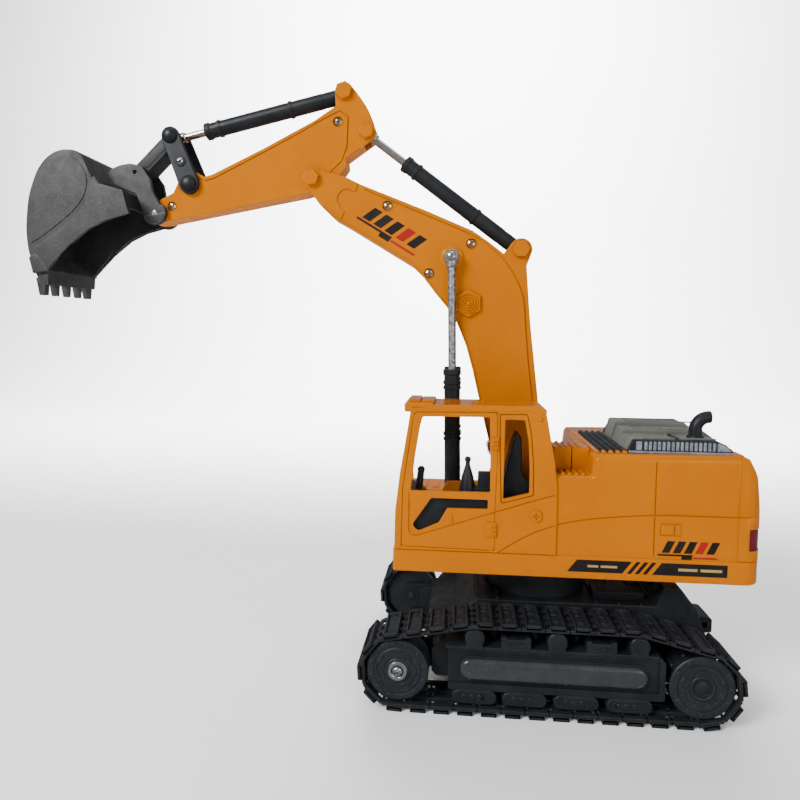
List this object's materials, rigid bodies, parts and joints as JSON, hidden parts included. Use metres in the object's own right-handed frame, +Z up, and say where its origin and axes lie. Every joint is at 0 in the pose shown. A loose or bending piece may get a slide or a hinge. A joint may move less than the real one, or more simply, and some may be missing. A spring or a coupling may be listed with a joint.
{
  "type": "toy excavator",
  "caption": "Tracked toy excavator with a slewing cab and engine house, a raised boom, a stick, a linked bucket and sliding cylinders",
  "frame": {"origin": "on the ground under the middle of the overall box, between the tracks", "axes": "-X is forwards, towards the bucket; +Y is the operator's right; +Z is up"},
  "size_m": [0.409, 0.1286, 0.342],
  "materials": {
    "orange_plastic": "glossy moulded orange-yellow",
    "black_plastic": "satin moulded black",
    "dark_grey_plastic": "satin dark olive grey",
    "blue_grey_plastic": "matt light blue grey",
    "bucket_grey": "matt cast dark grey",
    "bright_steel": "bright plated steel",
    "galvanised_steel": "mottled zinc",
    "motor_grey": "grey",
    "circuit_green": "circuit board",
    "red_lens": "clear red"
  },
  "bodies": {
    "undercarriage": {"chassis_frame": "black_plastic", "chassis_cover": "black_plastic", "left_track_frame": "black_plastic", "right_track_frame": "black_plastic", "left_track_belt": "black_plastic", "right_track_belt": "black_plastic", "left_drive_motor": "motor_grey", "right_drive_motor": "motor_grey", "turntable_pedestal": "black_plastic"},
    "left_sprocket_wheel": {"left_sprocket": "black_plastic"},
    "right_sprocket_wheel": {"right_sprocket": "black_plastic"},
    "left_idler_wheel": {"left_idler": "black_plastic", "left_idler_screw": "bright_steel"},
    "right_idler_wheel": {"right_idler": "black_plastic", "right_idler_screw": "bright_steel"},
    "house": {"slew_ring": "black_plastic", "house_base": "orange_plastic", "rear_shell": "orange_plastic", "counterweight": "orange_plastic", "left_tail_light": "red_lens", "right_tail_light": "red_lens", "engine_hood": "dark_grey_plastic", "left_grille": "blue_grey_plastic", "right_grille": "blue_grey_plastic", "vent_panel": "black_plastic", "exhaust_pipe": "black_plastic", "cab_shell": "orange_plastic", "cab_interior": "black_plastic", "operator_seat": "black_plastic", "right_side_box": "orange_plastic", "boom_bracket": "black_plastic", "boom_foot_pin": "bright_steel", "battery_pack": "motor_grey", "control_board": "circuit_green", "boom_motor": "motor_grey"},
    "boom": {"boom_left_shell": "orange_plastic", "boom_right_shell": "orange_plastic", "stick_pin": "orange_plastic", "stick_cylinder_foot_pin": "orange_plastic", "boom_cylinder_pin": "bright_steel", "stick_motor": "motor_grey"},
    "boom_rods": {"left_boom_rod": "galvanised_steel", "right_boom_rod": "galvanised_steel"},
    "boom_barrels": {"left_boom_barrel": "black_plastic", "right_boom_barrel": "black_plastic"},
    "stick": {"stick_left_shell": "orange_plastic", "stick_right_shell": "orange_plastic", "stick_cylinder_rod_pin": "orange_plastic", "bucket_cylinder_foot_pin": "orange_plastic", "rocker_pivot_pin": "bright_steel", "bucket_pin": "bright_steel"},
    "stick_rod": {"stick_cylinder_rod": "bright_steel"},
    "stick_barrel": {"stick_cylinder_barrel": "black_plastic"},
    "bucket": {"bucket": "bucket_grey"},
    "rocker": {"left_rocker": "black_plastic", "right_rocker": "black_plastic", "link_pin": "bright_steel"},
    "link": {"h_link": "black_plastic"},
    "bucket_rod": {"bucket_cylinder_rod": "bright_steel"},
    "bucket_barrel": {"bucket_cylinder_barrel": "black_plastic"}
  },
  "joints": [
    {"name": "slew", "type": "hinge", "parent": "undercarriage", "child": "house", "pos_m": [0.0954, 0, 0.068], "axis": [0, 0, 1], "continuous": true},
    {"name": "left_drive", "type": "hinge", "parent": "undercarriage", "child": "left_sprocket_wheel", "pos_m": [0.1734, -0.05, 0.021], "axis": [0, 1, 0], "continuous": true},
    {"name": "right_drive", "type": "hinge", "parent": "undercarriage", "child": "right_sprocket_wheel", "pos_m": [0.1734, 0.05, 0.021], "axis": [0, 1, 0], "continuous": true},
    {"name": "left_idler_turn", "type": "hinge", "parent": "undercarriage", "child": "left_idler_wheel", "pos_m": [0.0194, -0.05, 0.021], "axis": [0, 1, 0], "continuous": true},
    {"name": "right_idler_turn", "type": "hinge", "parent": "undercarriage", "child": "right_idler_wheel", "pos_m": [0.0194, 0.05, 0.021], "axis": [0, 1, 0], "continuous": true},
    {"name": "boom_lift", "type": "hinge", "parent": "house", "child": "boom", "pos_m": [0.0874, 0, 0.106], "axis": [0, 1, 0], "range_deg": [-34, 6]},
    {"name": "boom_rod_tilt", "type": "hinge", "parent": "boom", "child": "boom_rods", "pos_m": [0.0436, 0, 0.241], "axis": [0, 1, 0], "range_deg": [-1, 3]},
    {"name": "boom_barrel_slide", "type": "slide", "parent": "boom_rods", "child": "boom_barrels", "axis": [0.0192, 0, -0.9998], "range_m": [-0.027, 0.005]},
    {"name": "stick_swing", "type": "hinge", "parent": "boom", "child": "stick", "pos_m": [-0.0386, 0, 0.287], "axis": [0, -1, 0], "range_deg": [-8, 40]},
    {"name": "stick_rod_tilt", "type": "hinge", "parent": "stick", "child": "stick_rod", "pos_m": [-0.0068, 0, 0.3136], "axis": [0, -1, 0], "range_deg": [-40, 9]},
    {"name": "stick_barrel_slide", "type": "slide", "parent": "stick_rod", "child": "stick_barrel", "axis": [0.7981, 0, -0.6026], "range_m": [-0.006, 0.0285]},
    {"name": "bucket_curl", "type": "hinge", "parent": "stick", "child": "bucket", "pos_m": [-0.1342, 0, 0.2677], "axis": [0, -1, 0], "range_deg": [-20, 45]},
    {"name": "rocker_swing", "type": "hinge", "parent": "stick", "child": "rocker", "pos_m": [-0.1126, 0, 0.2845], "axis": [0, -1, 0], "range_deg": [-19, 41]},
    {"name": "link_tilt", "type": "hinge", "parent": "rocker", "child": "link", "pos_m": [-0.1238, 0, 0.3126], "axis": [0, -1, 0], "range_deg": [-37, 17]},
    {"name": "bucket_rod_tilt", "type": "hinge", "parent": "rocker", "child": "bucket_rod", "pos_m": [-0.1238, 0, 0.3126], "axis": [0, -1, 0], "range_deg": [-38, 17]},
    {"name": "bucket_barrel_slide", "type": "slide", "parent": "bucket_rod", "child": "bucket_barrel", "axis": [0.9742, 0, 0.2257], "range_m": [-0.0095, 0.021]}
  ],
  "couplings": [
    {"joint": "left_idler_turn", "follows": "left_drive", "ratio": 1},
    {"joint": "right_idler_turn", "follows": "right_drive", "ratio": 1},
    {"joint": "boom_rod_tilt", "follows": "boom_lift", "ratio": -0.07},
    {"joint": "boom_barrel_slide", "follows": "boom_lift", "m_per_rad": 0.0435},
    {"joint": "stick_rod_tilt", "follows": "stick_swing", "ratio": -0.98},
    {"joint": "stick_barrel_slide", "follows": "stick_swing", "m_per_rad": 0.0395},
    {"joint": "rocker_swing", "follows": "bucket_curl", "ratio": 0.885},
    {"joint": "link_tilt", "follows": "bucket_curl", "ratio": -0.8},
    {"joint": "bucket_rod_tilt", "follows": "bucket_curl", "ratio": -0.81},
    {"joint": "bucket_barrel_slide", "follows": "bucket_curl", "m_per_rad": 0.0245}
  ]
}
